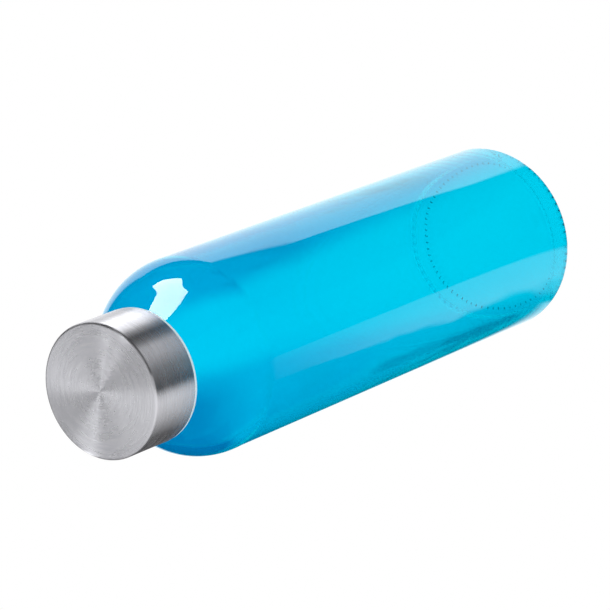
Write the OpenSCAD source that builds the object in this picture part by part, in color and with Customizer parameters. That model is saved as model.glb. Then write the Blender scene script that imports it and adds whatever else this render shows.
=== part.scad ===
// Glass water bottle with a screw cap: a tinted glass body whose neck carries an outside thread, and a cap
// made of a drawn steel shell, a threaded plastic insert and a silicone seal ring.
// Millimetres, +Z up the bottle's axis, origin at the centre of the base's resting plane.

/* [Overall] */
// Height from the resting plane to the top of the closed cap
total_h = 224; // [200:1:250]
// Outside diameter of the glass body
body_d = 65; // [62:0.5:72]

/* [Glass] */
// Thickness of the body, shoulder and neck wall
wall = 2.8; // [2.4:0.1:3.2]
// Height of the inside floor above the resting plane
floor_z = 4.8; // [4:0.2:7]
// Radius of the rounded shoulder
shoulder_r = 25.5; // [23:0.5:27]
// Steepest slope of the shoulder, measured from the bottle's axis
shoulder_slope = 46; // [42:1:50]
// Radius of the rounded edge at the foot of the body
heel_r = 3.5; // [3:0.25:5]
// Number of small radial notches round the resting ring
notch_count = 72; // [48:4:90]

/* [Cap] */
// Outside diameter of the steel shell
cap_d = 44; // [43:0.5:46]
// Height of the steel shell
cap_h = 19.5; // [18.5:0.5:21]
// Thickness of the steel
steel = 0.45; // [0.35:0.05:0.55]

/* [Thread] */
// Distance that the cap rises in one turn
lead = 4; // [3.8:0.1:4.4]
// Length of each thread, in turns
thread_turns = 1.5; // [1.25:0.25:1.5]

/* [Hidden] */
$fn = 96;
eps = 0.05;              // clearance between neighbouring pieces

// Glass body
body_r = body_d / 2;
neck_inset = 3.7;                  // how far the neck lies inside the cap's outside
neck_r = cap_d / 2 - neck_inset;   // outside of the neck between its threads
rim_z = total_h - cap_h;           // lower edge of the steel shell
shoulder_drop = 28;                // from that edge down to where the shoulder starts
straight_top = rim_z - shoulder_drop;
neck_fillet = 5;                   // concave radius from shoulder to neck
lip_r = 1.3;                       // rounding of the mouth's rim
floor_corner = 6;                  // inside radius between wall and floor
floor_crown = 0.4;                 // how much higher the inside floor is at its centre
ring_w = 5;                        // width of the flat resting ring
ring_r = body_r - heel_r;          // its outer edge
ring_in = ring_r - ring_w;         // its inner edge
punt_w = 4.9;                      // width of the slope just inside the ring
punt_edge = ring_in - punt_w;      // radius at which that slope meets the dome
punt_step = 0.9;                   // rise of the slope
punt_h = 1.8;                      // rise of the dome at its centre
notch_r = 0.45;                    // radius of one notch
notch_len = 2.2;                   // its length along the ring's radius
notch_over = 0.6;                  // how far its outer end runs into the heel

// Cap
cap_r = cap_d / 2;
edge_r = 0.9;                      // rounded edge round the shell's top
rim_round = 0.15;                  // rounding of the shell's lower edge
overlap = 0.3;                     // how far two shapes of one piece run into each other
plate_t = 1.8;                     // insert's top plate
bore_inset = 2.25;                 // how far the insert's bore lies inside the cap's outside
bore_r = cap_r - bore_inset;       // insert's bore between its threads
sleeve_t = 1.25;                   // insert's threaded sleeve
flange_h = 0.9;                    // insert's lip below the steel
flange_gap = 0.1;                  // how far the lip stays inside the steel's outside
rib_count = 24;                    // ribs between sleeve and steel
rib_w = 1.2;                       // thickness of one rib
rib_foot = 1;                      // height of its lower end above the steel's edge
plate_z = total_h - steel - plate_t;       // underside of the top plate
seal_t = 2.35;                     // silicone ring
lip_z = plate_z - seal_t - 2 * eps;        // top of the glass
plug_len = 5.2;                    // insert's plug, reaching down into the mouth
plug_t = 1.4;
plug_clear = 0.5;                  // between plug and mouth
mouth_r = neck_r - wall;
plug_r = mouth_r - plug_clear;
seal_clear = 0.25;                 // between seal and insert's bore

// Threads
ridge_h = 1.2;                     // how far a glass ridge stands out
glass_foot = 2.4;                  // width of a glass ridge at its foot
glass_crest = 0.9;                 // its width at its crest
insert_foot = 2.6;                 // the same for the insert's ridge
insert_crest = 1.2;
crest_clear = 0.3;                 // insert's crest to the glass neck
flank_clear = 0.15;                // insert's ridge to the flank that it pulls against
steps_per_turn = 36;
fade = 0.12;                       // share of a turn over which a ridge dies away
thread_start = 3;                  // height of the glass ridge's lower end above the steel's edge
glass_thread_z = rim_z + thread_start;
// Half a lead lower puts the ridges side by side; the rest closes the gap on the loaded flank
flank_slope = (glass_foot - glass_crest) / 2 / ridge_h;
gap_centred = (lead - glass_foot + 2 * flank_slope * crest_clear - insert_crest) / 2;
insert_thread_z = glass_thread_z - lead / 2 + gap_centred - flank_clear;

// Points on an arc from angle a0 to a1 about c
function arc(c, r, a0, a1, n) = [
    for (i = [0:n])
        let (a = a0 + (a1 - a0) * i / n)
        [c.x + r * cos(a), c.y + r * sin(a)]
];

// The wall from the straight side up to the lip, moved inwards by t
function side(t) =
    let (
        slope = shoulder_slope,
        run = body_r - neck_r - (shoulder_r + neck_fillet) * (1 - cos(slope)),
        cone = run / sin(slope),
        rise = (shoulder_r + neck_fillet) * sin(slope) + cone * cos(slope),
        shoulder_c = [body_r - shoulder_r, straight_top],
        fillet_c = [neck_r + neck_fillet, straight_top + rise]
    )
    concat(
        arc(shoulder_c, shoulder_r - t, 0, slope, 20),
        arc(fillet_c, neck_fillet + t, 180 + slope, 180, 8)
    );

function reversed(p) = [for (i = [len(p) - 1:-1:0]) p[i]];

// Half section of the glass, from the centre of the base round to the centre of the floor
function glass_section() = concat(
    // hollow under the base: a shallow dome and a step down to the ring
    [for (i = [0:8]) let (r = punt_edge * i / 8) [r, punt_h - (punt_h - punt_step) * pow(i / 8, 2)]],
    [[ring_in, 0]],
    arc([ring_r, heel_r], heel_r, -90, 0, 8),
    side(0),
    arc([neck_r - lip_r, lip_z - lip_r], lip_r, 0, 90, 6),
    arc([mouth_r + lip_r, lip_z - lip_r], lip_r, 90, 180, 6),
    reversed(side(wall)),
    arc([body_r - wall - floor_corner, floor_z + floor_corner], floor_corner, 0, -90, 10),
    [[0, floor_z + floor_crown]]
);

// A helical ridge from radius foot_r out (or in) to crest_r. Its section is a trapezoid, foot_w wide at foot_r
// and crest_w at crest_r, sunk by sink into the wall, and it dies away at both ends.
module ridge(foot_r, crest_r, foot_w, crest_w, start_z, sink = 0.4) {
    n = round(thread_turns * steps_per_turn);
    outward = crest_r > foot_r;
    root_r = foot_r + (outward ? -sink : sink);
    size_at = [for (i = [0:n]) min(1, i / (fade * steps_per_turn), (n - i) / (fade * steps_per_turn))];
    points = [
        for (i = [0:n])
            let (
                a = 360 * i / steps_per_turn,
                z = start_z + lead * i / steps_per_turn,
                s = max(0.02, size_at[i]),
                top_r = foot_r + (crest_r - foot_r) * s,
                half_top = (foot_w + (crest_w - foot_w) * s) / 2,
                half_foot = foot_w / 2
            )
            each [
                [root_r * cos(a), root_r * sin(a), z - half_foot],
                [top_r * cos(a), top_r * sin(a), z - half_top],
                [top_r * cos(a), top_r * sin(a), z + half_top],
                [root_r * cos(a), root_r * sin(a), z + half_foot]
            ]
    ];
    sides = [
        for (i = [0:n - 1], k = [0:3])
            let (a = 4 * i + k, b = 4 * i + (k + 1) % 4)
            each [[a, b, b + 4], [a, b + 4, a + 4]]
    ];
    ends = [[3, 2, 1, 0], [4 * n, 4 * n + 1, 4 * n + 2, 4 * n + 3]];
    faces = concat(sides, ends);
    polyhedron(points, outward ? faces : [for (f = faces) reversed(f)]);
}

module glass_bottle() {
    color([0.0, 0.72, 0.9, 0.5])
    difference() {
        union() {
            rotate_extrude() polygon(glass_section());
            ridge(neck_r, neck_r + ridge_h, glass_foot, glass_crest, glass_thread_z);
        }
        for (i = [0:notch_count - 1])
            rotate(360 / notch_count * i)
            translate([ring_r + notch_over - notch_len, 0, 0])
            rotate([0, 90, 0])
            cylinder(r = notch_r, h = notch_len, $fn = 24);
    }
}

// Half section of the drawn steel cup
function shell_section() = concat(
    [[0, total_h - steel]],
    arc([cap_r - edge_r, total_h - edge_r], edge_r - steel, 90, 0, 4),
    arc([cap_r - steel + rim_round, rim_z + rim_round], rim_round, 180, 270, 3),
    arc([cap_r - rim_round, rim_z + rim_round], rim_round, 270, 360, 3),
    arc([cap_r - edge_r, total_h - edge_r], edge_r, 0, 90, 8),
    [[0, total_h]]
);

module cap_shell() {
    color([0.72, 0.72, 0.74])
    rotate_extrude() polygon(shell_section());
}

module insert_rib() {
    inner_r = bore_r + sleeve_t - overlap;
    outer_r = cap_r - steel - eps;
    foot_z = rim_z + rib_foot;
    translate([inner_r, -rib_w / 2, foot_z])
    cube([outer_r - inner_r, rib_w, plate_z + overlap - foot_z]);
}

module cap_insert() {
    sleeve_r = bore_r + sleeve_t;
    outer_r = cap_r - steel - eps;
    foot_z = rim_z - eps - flange_h;
    color([0.93, 0.94, 0.95])
    union() {
        // top plate, with a bevel that clears the shell's inner corner
        translate([0, 0, plate_z]) cylinder(r = outer_r, h = plate_t - edge_r);
        translate([0, 0, plate_z + plate_t - edge_r])
        cylinder(r1 = outer_r, r2 = outer_r - edge_r, h = edge_r);
        // threaded sleeve and the lip that shows under the steel
        difference() {
            union() {
                translate([0, 0, foot_z]) cylinder(r = sleeve_r, h = plate_z + overlap - foot_z);
                translate([0, 0, foot_z]) cylinder(r = cap_r - flange_gap, h = flange_h);
            }
            translate([0, 0, foot_z - 1]) cylinder(r = bore_r, h = plate_z - foot_z + 1);
        }
        // plug that centres the seal and reaches into the mouth
        translate([0, 0, plate_z - plug_len])
        difference() {
            cylinder(r = plug_r, h = plug_len + overlap);
            translate([0, 0, -1]) cylinder(r = plug_r - plug_t, h = plug_len + 1);
        }
        for (i = [0:rib_count - 1]) rotate(360 / rib_count * i) insert_rib();
        ridge(bore_r, neck_r + crest_clear, insert_foot, insert_crest, insert_thread_z);
    }
}

module seal_ring() {
    color([0.9, 0.9, 0.88])
    translate([0, 0, lip_z + eps])
    difference() {
        cylinder(r = bore_r - seal_clear, h = seal_t);
        translate([0, 0, -1]) cylinder(r = plug_r + eps, h = seal_t + 2);
    }
}

glass_bottle();
cap_shell();
cap_insert();
seal_ring();
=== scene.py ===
"""Looks of the glass water bottle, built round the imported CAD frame.

The glass is one lathe mesh with a real wall, thread and resting ring: a translucent cyan coat on its outside
and clear glass inside. The cap's steel shell is a lathe mesh too. The plastic insert and the silicone ring
are the CAD's own meshes with new materials.
Everything is in metres, with +Z up the bottle's axis and the origin in the middle of its base."""

import math

import bpy
import numpy as np
from mathutils import Matrix, Vector


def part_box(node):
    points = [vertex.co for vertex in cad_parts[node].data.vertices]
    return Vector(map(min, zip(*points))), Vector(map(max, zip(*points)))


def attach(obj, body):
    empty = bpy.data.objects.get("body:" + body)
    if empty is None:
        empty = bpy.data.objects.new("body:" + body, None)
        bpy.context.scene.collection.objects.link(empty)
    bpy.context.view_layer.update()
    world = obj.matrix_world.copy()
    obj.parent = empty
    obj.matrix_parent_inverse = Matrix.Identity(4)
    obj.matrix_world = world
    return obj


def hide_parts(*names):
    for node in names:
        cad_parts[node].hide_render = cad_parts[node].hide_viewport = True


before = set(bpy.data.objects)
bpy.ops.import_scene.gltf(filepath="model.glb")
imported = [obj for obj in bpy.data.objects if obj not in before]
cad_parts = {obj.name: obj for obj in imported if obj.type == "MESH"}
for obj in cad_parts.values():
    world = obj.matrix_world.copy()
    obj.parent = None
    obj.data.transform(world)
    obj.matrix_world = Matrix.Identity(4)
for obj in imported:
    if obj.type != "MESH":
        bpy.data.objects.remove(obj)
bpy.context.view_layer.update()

MM = 0.001
TURN = 2 * math.pi

# ---------------------------------------------------------------- sizes
# The nodes' boxes give the outer sizes, and the others are the CAD's own.
_, GLASS_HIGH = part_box("glass_bottle")
SHELL_LOW, SHELL_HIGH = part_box("cap_shell")

BODY_R = GLASS_HIGH.x
LIP_Z = GLASS_HIGH.z
CAP_R = SHELL_HIGH.x
RIM_Z = SHELL_LOW.z
TOP_Z = SHELL_HIGH.z

WALL = 2.8 * MM
FLOOR_Z = 4.8 * MM
FLOOR_CORNER = 6 * MM
FLOOR_CROWN = 0.4 * MM
SHOULDER_R = 25.5 * MM
SHOULDER_SLOPE = math.radians(46)
NECK_FILLET = 5 * MM
NECK_R = CAP_R - 3.7 * MM
STRAIGHT_TOP = RIM_Z - 28 * MM
NECK_FROM = STRAIGHT_TOP + 20 * MM      # the thread is raised only above this
HEEL_R = 3.5 * MM
LIP_R = 1.3 * MM
RING_OUT = BODY_R - HEEL_R
RING_IN = RING_OUT - 5 * MM
PUNT_EDGE = RING_IN - 4.9 * MM
PUNT_STEP = 0.9 * MM
PUNT_H = 1.8 * MM
NOTCH_COUNT = 72
NOTCH_DEPTH = 0.45 * MM
NOTCH_HALF_WIDTH = 0.5 * MM
NOTCH_OUT = RING_OUT + 0.6 * MM
NOTCH_IN = NOTCH_OUT - 2.2 * MM
THREAD_LEAD = 4 * MM
THREAD_TURNS = 1.5
THREAD_Z = RIM_Z + 3 * MM
THREAD_H = 1.2 * MM
THREAD_FOOT = 1.2 * MM                  # half the ridge's width at its foot
THREAD_CREST = 0.45 * MM                # half its width at its crest
THREAD_FADE = 0.12                      # share of a turn over which it dies away

STEEL = 0.45 * MM
SHELL_EDGE_R = 0.9 * MM
SHELL_RIM_R = 0.15 * MM

GLASS_SEGMENTS = NOTCH_COUNT * 6
CAP_SEGMENTS = 256
ON_AXIS = 1e-9                          # a row with a smaller radius is one point
NEAR_NECK = 0.01 * MM                   # tolerance for rows on the neck's outside
NEAR_GROUND = 0.1 * MM                  # rows below this belong to the resting ring
SHARP = math.radians(40)                # edges that turn more than this aren't smoothed


# ---------------------------------------------------------------- camera
CAMERA_AT = Vector((0.7540, 0.0, 1.0623))
CAMERA_AIM = Vector((0.0, 0.0018, 0.1141))
AXIS_TILT = math.radians(21.44)
LENS = 216.1                            # focal length in millimetres
CLIP_END = 50                           # far enough to see the whole floor


def make_camera():
    """A long lens that looks down past the cap, rolled so that in the picture the base points to the right
    and AXIS_TILT upwards."""
    forward = (CAMERA_AIM - CAMERA_AT).normalized()
    to_base = Vector((0, 0, -1))
    to_base = (to_base - forward * to_base.dot(forward)).normalized()
    across = forward.cross(to_base)
    right = math.cos(AXIS_TILT) * to_base + math.sin(AXIS_TILT) * across
    up = right.cross(forward)
    camera = bpy.data.objects.new("camera", bpy.data.cameras.new("camera"))
    bpy.context.scene.collection.objects.link(camera)
    turn = Matrix((right, up, -forward)).transposed()
    camera.matrix_world = Matrix.Translation(CAMERA_AT) @ turn.to_4x4()
    camera.data.lens = LENS
    camera.data.clip_end = CLIP_END
    bpy.context.scene.camera = camera


# ---------------------------------------------------------------- lathe
def arc(centre, radius, start, end, steps):
    """Points (r, z) on an arc, with angles in degrees."""
    angles = np.radians(np.linspace(start, end, steps + 1))
    return [(centre[0] + radius * math.cos(a), centre[1] + radius * math.sin(a)) for a in angles]


def line(start, end, steps):
    """Points from start to end, without start."""
    first, run = np.array(start), np.array(end) - np.array(start)
    return [tuple(first + run * i / steps) for i in range(1, steps + 1)]


def lathe(name, rows, segments, shape=None):
    """A mesh of revolution, and the row that each of its faces starts from. rows are (r, z), and a row with
    r 0 is one point on the axis. shape(angles, section, radius, height) may give each point a new radius and
    height, as arrays of rows by segments."""
    section = np.array(rows, float)
    angles = np.arange(segments) * TURN / segments
    radius = np.repeat(section[:, :1], segments, axis=1)
    height = np.repeat(section[:, 1:], segments, axis=1)
    if shape is not None:
        radius, height = shape(angles, section, radius, height)
    points, index = [], []
    for row, (r, z) in enumerate(section):
        if r <= ON_AXIS:
            index.append(np.full(segments, len(points)))
            points.append((0.0, 0.0, z))
            continue
        index.append(len(points) + np.arange(segments))
        points += list(zip(radius[row] * np.cos(angles), radius[row] * np.sin(angles), height[row]))
    faces, of_row = [], []
    for row in range(len(section) - 1):
        low, high = index[row], index[row + 1]
        for i in range(segments):
            j = (i + 1) % segments
            corners = [low[i], low[j], high[j], high[i]]
            faces.append([int(c) for n, c in enumerate(corners) if c != corners[n - 1]])
            of_row.append(row)
    mesh = bpy.data.meshes.new(name)
    mesh.from_pydata([tuple(map(float, p)) for p in points], [], faces)
    mesh.update()
    mesh.shade_smooth()
    piece = bpy.data.objects.new(name, mesh)
    bpy.context.scene.collection.objects.link(piece)
    return piece, np.array(of_row)


# ---------------------------------------------------------------- glass
def glass_side(inwards):
    """The wall from the straight side to the neck, moved inwards."""
    run = BODY_R - NECK_R - (SHOULDER_R + NECK_FILLET) * (1 - math.cos(SHOULDER_SLOPE))
    cone = run / math.sin(SHOULDER_SLOPE)
    rise = (SHOULDER_R + NECK_FILLET) * math.sin(SHOULDER_SLOPE) + cone * math.cos(SHOULDER_SLOPE)
    slope = math.degrees(SHOULDER_SLOPE)
    shoulder = arc((BODY_R - SHOULDER_R, STRAIGHT_TOP), SHOULDER_R - inwards, 0, slope, 24)
    fillet = arc((NECK_R + NECK_FILLET, STRAIGHT_TOP + rise), NECK_FILLET + inwards, 180 + slope, 180, 8)
    return shoulder + fillet


def glass_rows():
    """The glass section from the middle of its underside round to the middle of its inside floor, and the
    number of its outside rows."""
    dome = [
        (PUNT_EDGE * i / 10, PUNT_H - (PUNT_H - PUNT_STEP) * (i / 10) ** 2)
        for i in range(11)
    ]
    ring = line((RING_IN, 0), (NOTCH_IN, 0), 1)
    notches = line((NOTCH_IN, 0), (RING_OUT, 0), 6)
    heel = arc((RING_OUT, HEEL_R), HEEL_R, -90, 0, 20)[1:]
    neck_top = (NECK_R, LIP_Z - LIP_R)
    side = glass_side(0)
    neck = line(side[-1], neck_top, 56)
    lip_out = arc((NECK_R - LIP_R, LIP_Z - LIP_R), LIP_R, 0, 90, 8)[1:]
    outside = dome + [(RING_IN, 0)] + ring + notches + heel + side + neck + lip_out
    mouth_r = NECK_R - WALL
    lip_in = arc((mouth_r + LIP_R, LIP_Z - LIP_R), LIP_R, 90, 180, 8)
    inner_side = glass_side(WALL)[::-1]
    corner = arc((BODY_R - WALL - FLOOR_CORNER, FLOOR_Z + FLOOR_CORNER), FLOOR_CORNER, 0, -90, 12)
    inside = lip_in + inner_side + corner + [(0.0, FLOOR_Z + FLOOR_CROWN)]
    return outside + inside, len(outside)


def smooth_step(x):
    x = np.clip(x, 0, 1)
    return x * x * (3 - 2 * x)


def glass_shape(angles, section, radius, height):
    """Raises the thread on the neck and sinks the notches in the resting ring."""
    turn = angles / TURN
    for k in range(3):
        along = turn + k
        share = np.clip(np.minimum(along, THREAD_TURNS - along) / THREAD_FADE, 0, 1)
        centre = THREAD_Z + THREAD_LEAD * along
        off = np.abs(section[:, 1:] - centre[None, :])
        ridge = 1 - smooth_step((off - THREAD_CREST) / (THREAD_FOOT - THREAD_CREST))
        on_neck = (section[:, :1] > NECK_R - NEAR_NECK) & (section[:, 1:] > NECK_FROM)
        radius = radius + THREAD_H * ridge * share[None, :] * on_neck
    middle, half = (NOTCH_IN + NOTCH_OUT) / 2, (NOTCH_OUT - NOTCH_IN) / 2
    in_ring = section[:, 1:] < NEAR_GROUND
    length = 1 - ((section[:, :1] - middle) / half) ** 2
    pitch = TURN / NOTCH_COUNT
    off = np.abs((angles + pitch / 2) % pitch - pitch / 2) * middle
    depth = NOTCH_DEPTH * np.clip(1 - (off / NOTCH_HALF_WIDTH) ** 2, 0, 1)
    height = np.maximum(height, depth[None, :] * np.clip(length, 0, 1) ** 0.5 * in_ring)
    return radius, height


def make_glass():
    rows, outside = glass_rows()
    piece, of_row = lathe("bottle_glass", rows, GLASS_SEGMENTS, glass_shape)
    piece.data.materials.append(coat_material())
    piece.data.materials.append(clear_material())
    piece.data.polygons.foreach_set("material_index", (of_row >= outside - 1).astype(np.int32))
    piece.data.set_sharp_from_angle(angle=SHARP)
    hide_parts("glass_bottle")
    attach(piece, "bottle")


# ---------------------------------------------------------------- cap
def shell_rows():
    """The drawn steel cup, from the middle of its top's underside round its rim to the middle of its top."""
    corner = (CAP_R - SHELL_EDGE_R, TOP_Z - SHELL_EDGE_R)
    inside_top = [(0.0, TOP_Z - STEEL)] + line((0.0, TOP_Z - STEEL), (corner[0], TOP_Z - STEEL), 4)
    inside = arc(corner, SHELL_EDGE_R - STEEL, 90, 0, 6)[1:]
    rim_z = RIM_Z + SHELL_RIM_R
    rim_in = arc((CAP_R - STEEL + SHELL_RIM_R, rim_z), SHELL_RIM_R, 180, 270, 4)
    rim_out = arc((CAP_R - SHELL_RIM_R, rim_z), SHELL_RIM_R, 270, 360, 4)
    edge = arc(corner, SHELL_EDGE_R, 0, 90, 12)
    top = line(edge[-1], (0.0, TOP_Z), 8)
    return inside_top + inside + rim_in + rim_out + edge + top


def make_cap():
    shell, _ = lathe("steel_cap", shell_rows(), CAP_SEGMENTS)
    shell.data.materials.append(steel_material())
    shell.data.set_sharp_from_angle(angle=SHARP)
    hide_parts("cap_shell")
    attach(shell, "cap")
    for node, material in (("cap_insert", plastic_material()), ("seal_ring", silicone_material())):
        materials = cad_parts[node].data.materials
        materials.clear()
        materials.append(material)


# ---------------------------------------------------------------- shader nodes
class Graph:
    """Short calls that add nodes to a material's or the world's tree. A value is a number, a colour, a vector
    or another node's output."""

    def __init__(self, owner):
        owner.use_nodes = True
        self.tree = owner.node_tree

    def put(self, value, socket):
        if isinstance(value, bpy.types.NodeSocket):
            self.tree.links.new(value, socket)
        else:
            socket.default_value = value

    def node(self, kind, inputs=None, **settings):
        made = self.tree.nodes.new("ShaderNode" + kind)
        for name, value in settings.items():
            setattr(made, name, value)
        for name, value in (inputs or {}).items():
            self.put(value, made.inputs[name])
        return made

    def math(self, operation, *values):
        made = self.node("Math", operation=operation)
        for value, socket in zip(values, made.inputs):
            self.put(value, socket)
        return made.outputs[0]

    def add(self, *values):
        return self.math("ADD", *values)

    def times(self, *values):
        product = values[0]
        for value in values[1:]:
            product = self.math("MULTIPLY", product, value)
        return product

    def vector(self, operation, *values, output="Vector"):
        made = self.node("VectorMath", operation=operation)
        for value, socket in zip(values, made.inputs):
            self.put(value, socket)
        return made.outputs[output]

    def scaled(self, vector, scale):
        made = self.node("VectorMath", {"Vector": vector, "Scale": scale}, operation="SCALE")
        return made.outputs["Vector"]

    def step(self, value, start, end, low=0.0, high=1.0):
        """Goes smoothly from low to high as value goes from start to end."""
        inputs = {"Value": value, "From Min": start, "From Max": end, "To Min": low, "To Max": high}
        return self.node("MapRange", inputs, interpolation_type="SMOOTHSTEP").outputs["Result"]

    def mix(self, share, first, second):
        made = self.node("Mix", data_type="RGBA")
        for value, socket in zip((share, first, second), (made.inputs[0], made.inputs[6], made.inputs[7])):
            self.put(value, socket)
        return made.outputs[2]

    def noise(self, place, scale, detail):
        return self.node("TexNoise", {"Vector": place, "Scale": scale, "Detail": detail}).outputs["Fac"]

    def split(self, place):
        return self.node("SeparateXYZ", {"Vector": place}).outputs

    def join(self, x, y, z):
        return self.node("CombineXYZ", {"X": x, "Y": y, "Z": z}).outputs[0]

    def bump(self, height, strength, distance):
        inputs = {"Height": height, "Strength": strength, "Distance": distance}
        return self.node("Bump", inputs).outputs["Normal"]

    def streak(self, place, start, end, inner, outer):
        """1 within inner of the line from start to end, going smoothly to 0 at outer."""
        run = Vector(end) - Vector(start)
        off = self.vector("SUBTRACT", place, Vector(start))
        along = self.math("DIVIDE", self.vector("DOT_PRODUCT", off, run, output="Value"), run.length_squared)
        foot = self.scaled(run, self.node("Clamp", {"Value": along}).outputs[0])
        apart = self.vector("DISTANCE", off, foot, output="Value")
        return self.step(apart, outer, inner)

    def streaks(self, place, shapes):
        """The strongest of several streaks, given as (start, end, inner, outer)."""
        strongest, *others = [self.streak(place, *shape) for shape in shapes]
        for other in others:
            strongest = self.math("MAXIMUM", strongest, other)
        return strongest


def new_material(name):
    """A material's graph, its Principled node and the object's own coordinates."""
    material = bpy.data.materials.new(name)
    graph = Graph(material)
    surface = graph.tree.nodes["Principled BSDF"]
    place = graph.node("TexCoord").outputs["Object"]
    return material, graph, surface, place


# ---------------------------------------------------------------- materials
COAT_TOP_Z = 0.19           # the coat's colour changes from the base up to here
RIPPLE = 0.25               # strength of the ripple in blown glass
RIPPLE_H = 0.3 * MM
LINE_DRIFT = 2.6            # how much the brushed lines change on their way round
GRAIN_H = 0.02 * MM         # depth of the brushed lines and of the plastic's grain


def set_glass(surface):
    """Smooth and clear all through."""
    surface.inputs["Transmission Weight"].default_value = 1
    surface.inputs["Roughness"].default_value = 0.0
    surface.inputs["IOR"].default_value = 1.5


def coat_material():
    """A cyan lacquer that light passes through, a little paler towards the base, on the soft ripple of blown
    glass."""
    material, graph, surface, place = new_material("cyan_coat")
    height = graph.split(place)[2]
    by_height = graph.mix(graph.step(height, 0.0, COAT_TOP_Z), (0.0, 0.67, 0.92, 1), (0.0, 0.60, 0.93, 1))
    clouds = graph.noise(graph.vector("MULTIPLY", place, (1, 1, 0.35)), 45, 3)
    colour = graph.mix(graph.step(clouds, 0.3, 0.7, 0.0, 0.06), by_height, (0.0, 0.35, 0.80, 1))
    graph.put(colour, surface.inputs["Base Color"])
    graph.put(graph.bump(graph.noise(place, 30, 1), RIPPLE, RIPPLE_H), surface.inputs["Normal"])
    set_glass(surface)
    return material


def clear_material():
    """Bare glass, with the same ripple and a faint green in its thickness."""
    material, graph, surface, place = new_material("clear_glass")
    clouds = graph.noise(place, 60, 2)
    colour = graph.mix(clouds, (0.985, 1, 0.99, 1), (1, 1, 1, 1))
    graph.put(colour, surface.inputs["Base Color"])
    graph.put(graph.bump(graph.noise(place, 36, 1), RIPPLE, RIPPLE_H), surface.inputs["Normal"])
    set_glass(surface)
    return material


def steel_material():
    """Stainless steel brushed in circles, on the face as on the side, with finer and coarser rings."""
    material, graph, surface, place = new_material("brushed_steel")
    x, y, z = graph.split(place)[:3]
    radius = graph.vector("LENGTH", graph.join(x, y, 0.0), output="Value")
    around = graph.scaled(graph.vector("NORMALIZE", graph.join(x, y, 0.0)), LINE_DRIFT)

    def lines(per_metre, detail):
        """Noise that runs along circles round the axis."""
        lifted = graph.vector("ADD", around, graph.join(0.0, 0.0, graph.times(z, per_metre)))
        inputs = {"Vector": lifted, "W": graph.times(radius, per_metre), "Scale": 1.0, "Detail": detail}
        return graph.node("TexNoise", inputs, noise_dimensions="4D").outputs["Fac"]

    fine = lines(2400, 2)
    coarse = lines(650, 2)
    wide = lines(160, 1)
    tone = graph.add(graph.times(fine, 0.6), graph.add(graph.times(coarse, 0.28), graph.times(wide, 0.12)))
    colour = graph.mix(graph.step(tone, 0.3, 0.7), (0.56, 0.56, 0.595, 1), (0.68, 0.68, 0.715, 1))
    graph.put(colour, surface.inputs["Base Color"])
    graph.put(graph.step(coarse, 0.3, 0.7, 0.23, 0.29), surface.inputs["Roughness"])
    graph.put(graph.bump(fine, 0.1, GRAIN_H), surface.inputs["Normal"])
    surface.inputs["Metallic"].default_value = 1
    surface.inputs["Anisotropic"].default_value = 1
    surface.inputs["Anisotropic Rotation"].default_value = 0.25
    tangent = graph.node("Tangent", direction_type="RADIAL", axis="Z")
    graph.put(tangent.outputs[0], surface.inputs["Tangent"])
    return material


def plastic_material():
    """White polypropylene: cloudy in its depth, with a fine moulded grain."""
    material, graph, surface, place = new_material("white_plastic")
    clouds = graph.noise(place, 160, 4)
    colour = graph.mix(graph.step(clouds, 0.3, 0.7), (0.60, 0.72, 0.78, 1), (0.72, 0.80, 0.85, 1))
    grain = graph.noise(place, 3500, 2)
    graph.put(colour, surface.inputs["Base Color"])
    graph.put(graph.step(clouds, 0.3, 0.7, 0.30, 0.44), surface.inputs["Roughness"])
    graph.put(graph.bump(grain, 0.25, GRAIN_H), surface.inputs["Normal"])
    surface.inputs["Subsurface Weight"].default_value = 0.25
    surface.inputs["Subsurface Scale"].default_value = 1.5 * MM
    return material


def silicone_material():
    """Milky silicone, matt, with dust specks and a soft skin."""
    material, graph, surface, place = new_material("silicone")
    clouds = graph.noise(place, 220, 3)
    specks = graph.step(graph.noise(place, 2600, 1), 0.70, 0.76, 0.0, 0.35)
    milky = graph.mix(clouds, (0.76, 0.76, 0.73, 1), (0.88, 0.88, 0.86, 1))
    graph.put(graph.mix(specks, milky, (0.55, 0.54, 0.50, 1)), surface.inputs["Base Color"])
    graph.put(graph.step(clouds, 0.3, 0.7, 0.48, 0.62), surface.inputs["Roughness"])
    graph.put(graph.bump(clouds, 0.2, 0.05 * MM), surface.inputs["Normal"])
    surface.inputs["Subsurface Weight"].default_value = 0.4
    surface.inputs["Subsurface Scale"].default_value = 1.2 * MM
    return material


# ---------------------------------------------------------------- studio
# Light and dark cards for brushed surfaces, as (angle in degrees, brightness). They stand like the sectors of
# a fan about the direction FAN_CENTRE, so that each card shows as one sector of the brushed steel. The low
# ones, below the horizon, light the cap's side, and the high ones its face.
LOW_CARDS = (
    (-180, 0.1), (-125, 0.3), (-102, 0.05), (-75, 0.06), (-62, 0.1), (-50, 0.38), (-38, 0.72), (-28, 0.92),
    (-23, 0.8), (-16, 0.04), (-8, 0.13), (0, 0.26), (12, 0.6), (20, 0.66), (26, 0.22), (33, 0.08), (39, 0.45),
    (45, 1.4), (54, 2.2), (62, 2.1), (69, 1.15), (76, 1.1), (86, 1.4), (110, 0.3), (180, 0.1),
)
HIGH_CARDS = (
    (0, 0.62), (14, 0.52), (30, 0.5), (38, 0.2), (41, 3.0), (49, 3.0), (52, 0.2), (64, 0.46), (75, 0.6),
    (90, 0.78), (120, 0.9), (150, 1.14), (160, 1.16), (167, 0.64), (180, 0.58),
)
FAN_CENTRE = (-0.622, 0.0, -0.783)
GAP_TONE = (0.06, 0.06, 0.06, 1)        # the dark gap between the low cards and the high ones
CAP_MIDDLE = (0.0, 0.0, 0.214)          # the floor's cards are laid out as seen from here
LIGHT_BOUNCES = 200                     # light that runs along inside the wall turns black with fewer
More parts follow.
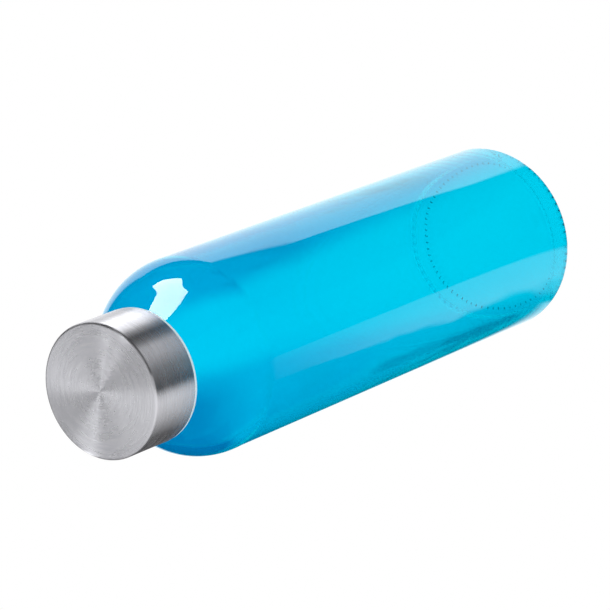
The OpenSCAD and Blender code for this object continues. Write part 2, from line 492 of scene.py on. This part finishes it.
WHITE = (1, 1, 1, 1)

# Painted shade on the floor that only light which has come through the glass sees, so that the glass looks
# darker where
# it lies in front of it: soft shades, and streaks and blotches of painted shade, as (start, end, inner,
# outer) in millimetres.
LOW_SHADE = (1, 0.77, 0.87, 1)
HIGH_SHADE = (1, 0.62, 0.78, 1)
CORNER_SHADE = (1, 0.34, 0.55, 1)
STREAK_SHADE = (1, 0.30, 0.45, 1)
BLOTCH_SHADE = (0.70, 0.42, 0.50, 1)
SHADE_STREAKS = (
    ((-58, -50, 0), (-14, -46, 0), 5, 13),
    ((-14, -62, 0), (-2, -40, 0), 3, 8),
)
SHADE_BLOTCHES = (
    ((-24, 56, 0), (-2, 58, 0), 4, 14),
    ((-54, 54, 0), (-32, 56, 0), 3, 11),
)

STAGE_HALF = 12.0                       # half the floor's width
STAGE_Z = -0.1 * MM                     # just clear of the bottle's resting ring
SOFTBOX_Y = 0.5
SOFTBOX_STRENGTH = 14
SOFTBOX_OUTLINE = (                     # (x, z)
    (-0.15, 0.24), (-0.08, 0.345), (-0.01, 0.38), (0.055, 0.418), (0.125, 0.46), (0.18, 0.49), (0.195, 0.29),
    (0.12, 0.25), (0.06, 0.14), (-0.08, 0.18),
)


def ray_kinds(graph):
    """Whether a ray comes off a mirror-smooth surface, off a brushed or satin one, or through the glass."""
    path = graph.node("LightPath").outputs
    reflected = graph.times(path["Is Glossy Ray"], path["Is Reflection Ray"])
    mirror = graph.times(reflected, path["Is Singular Ray"])
    brushed = graph.math("SUBTRACT", reflected, mirror)
    return mirror, brushed, path["Is Transmission Ray"]


def ramp(graph, share, stops, start, end):
    """The brightness at share of the way from start to end, by stops of (value, brightness)."""
    made = graph.node("ValToRGB", {"Fac": share})
    elements = made.color_ramp.elements
    for _ in stops[2:]:
        elements.new(1.0)
    for element, (value, level) in zip(elements, stops):
        element.position = (value - start) / (end - start)
        element.color = (level, level, level, 1)
    return made.outputs["Color"]


def fan_place(graph, direction):
    """The angle of a direction about FAN_CENTRE, in half turns from -1 to 1, and how far out it lies."""
    x, y, z = graph.split(graph.vector("SUBTRACT", direction, FAN_CENTRE))[:3]
    angle = graph.math("DIVIDE", graph.math("ARCTAN2", y, x), math.pi)
    away = graph.vector("LENGTH", graph.join(x, y, 0.0), output="Value")
    return angle, graph.math("DIVIDE", away, z)


def low_cards(graph, angle):
    return ramp(graph, graph.add(graph.times(angle, 0.5), 0.5), LOW_CARDS, -180, 180)


def high_cards(graph, angle):
    """The same for directions half a turn apart about the fan's centre."""
    return ramp(graph, graph.math("FLOORED_MODULO", angle, 1.0), HIGH_CARDS, 0, 180)


def make_world():
    world = bpy.data.worlds.new("studio")
    bpy.context.scene.world = world
    graph = Graph(world)
    mirror, brushed, _ = ray_kinds(graph)
    direction = graph.node("TexCoord").outputs["Generated"]
    z = graph.split(direction)[2]
    overhead = graph.step(z, 0.74, 0.80, 0.0, 0.9)
    angle, out = fan_place(graph, direction)
    gap = graph.times(graph.step(out, 0.17, 0.28), graph.step(angle, -0.03, 0.0), graph.step(z, 0.97, 0.85))
    lit = graph.mix(graph.step(z, 0.0, 0.1), low_cards(graph, angle), high_cards(graph, angle))
    lit = graph.mix(graph.times(gap, graph.step(z, -0.05, 0.0)), lit, GAP_TONE)
    glow = graph.mix(brushed, WHITE, lit)
    glow = graph.mix(mirror, glow, overhead)
    graph.put(glow, graph.tree.nodes["Background"].inputs["Color"])


def floor_material():
    """A white floor. Mirror reflections see it black with two bright cards on it, which give the glass its
    long highlights. Brushed reflections see the low cards on it, and light that has come through the glass
    sees painted shade on it, which darkens the glass where it lies behind."""
    material = bpy.data.materials.new("floor_white")
    graph = Graph(material)
    graph.tree.nodes.remove(graph.tree.nodes["Principled BSDF"])
    mirror, brushed, through = ray_kinds(graph)
    place = graph.scaled(graph.node("NewGeometry").outputs["Position"], 1 / MM)
    x, y = graph.split(place)[:2]

    # the cards' edges, in millimetres
    distance = graph.vector("LENGTH", place, output="Value")
    left_card = graph.times(
        graph.step(x, 34, 31),
        graph.step(graph.math("SUBTRACT", x, graph.times(y, 0.25)), 22.5, 20),
        graph.step(graph.add(y, graph.times(x, 0.95)), 170, 155),
        graph.step(graph.math("SUBTRACT", y, graph.times(x, 0.27)), -40, -32),
        graph.step(distance, 640, 480),
        1.15,
    )
    waves = graph.times(graph.math("SUBTRACT", graph.noise(place, 0.035, 2), 0.5), 40)
    curved_edge = graph.add(graph.math("SUBTRACT", x, graph.times(y, y, 0.0035)), waves)
    right_card = graph.times(
        graph.step(graph.add(y, graph.times(x, 0.705)), 9, 6),
        graph.step(curved_edge, 12, 24),
        graph.step(y, -165, -85),
        graph.step(x, 170, 30, 0.12, 0.7),
    )
    bright = graph.add(left_card, right_card)

    # painted shade: darker places on the floor, seen only through the glass, that darken the glass in front
    # of them; the camera sees the floor plain white
    low = graph.step(graph.add(y, graph.times(x, 0.094)), -21, -32)
    high = graph.step(y, 18, 34)
    corner = graph.times(graph.step(x, -110, -175), graph.step(y, -6, -30))
    seen = graph.mix(low, WHITE, LOW_SHADE)
    seen = graph.mix(high, seen, HIGH_SHADE)
    seen = graph.mix(corner, seen, CORNER_SHADE)
    seen = graph.mix(graph.streaks(place, SHADE_STREAKS), seen, STREAK_SHADE)
    seen = graph.mix(graph.streaks(place, SHADE_BLOTCHES), seen, BLOTCH_SHADE)

    colour = graph.mix(through, WHITE, seen)
    from_cap = graph.vector("NORMALIZE", graph.vector("SUBTRACT", place, Vector(CAP_MIDDLE) / MM))
    colour = graph.mix(brushed, colour, low_cards(graph, fan_place(graph, from_cap)[0]))
    colour = graph.mix(mirror, colour, bright)
    glow = graph.node("Emission", {"Color": colour})
    graph.put(glow.outputs[0], graph.tree.nodes["Material Output"].inputs["Surface"])
    return material


def flat_mesh(name, corners, material):
    """One flat face of the studio."""
    mesh = bpy.data.meshes.new(name)
    mesh.from_pydata(corners, [], [tuple(range(len(corners)))])
    mesh.materials.append(material)
    made = bpy.data.objects.new(name, mesh)
    bpy.context.scene.collection.objects.link(made)
    return made


def softbox_material():
    """Light that only mirror-smooth surfaces reflect."""
    material = bpy.data.materials.new("softbox")
    graph = Graph(material)
    graph.tree.nodes.remove(graph.tree.nodes["Principled BSDF"])
    mirror, _, _ = ray_kinds(graph)
    glow = graph.node("Emission", {"Strength": graph.times(mirror, SOFTBOX_STRENGTH)})
    graph.put(glow.outputs[0], graph.tree.nodes["Material Output"].inputs["Surface"])
    return material


def make_studio():
    scene = bpy.context.scene
    scene.view_settings.view_transform = "Standard"
    scene.cycles.max_bounces = LIGHT_BOUNCES
    scene.cycles.transmission_bounces = LIGHT_BOUNCES
    scene.cycles.glossy_bounces = LIGHT_BOUNCES
    make_world()
    corners = [(x * STAGE_HALF, y * STAGE_HALF, STAGE_Z) for x, y in ((-1, -1), (1, -1), (1, 1), (-1, 1))]
    flat_mesh("floor", corners, floor_material())

    # an upright softbox at the bottle's side, seen in reflections only
    box = flat_mesh("softbox", [(x, SOFTBOX_Y, z) for x, z in SOFTBOX_OUTLINE], softbox_material())
    box.visible_camera = False
    box.visible_transmission = False


make_camera()
make_glass()
make_cap()
make_studio()
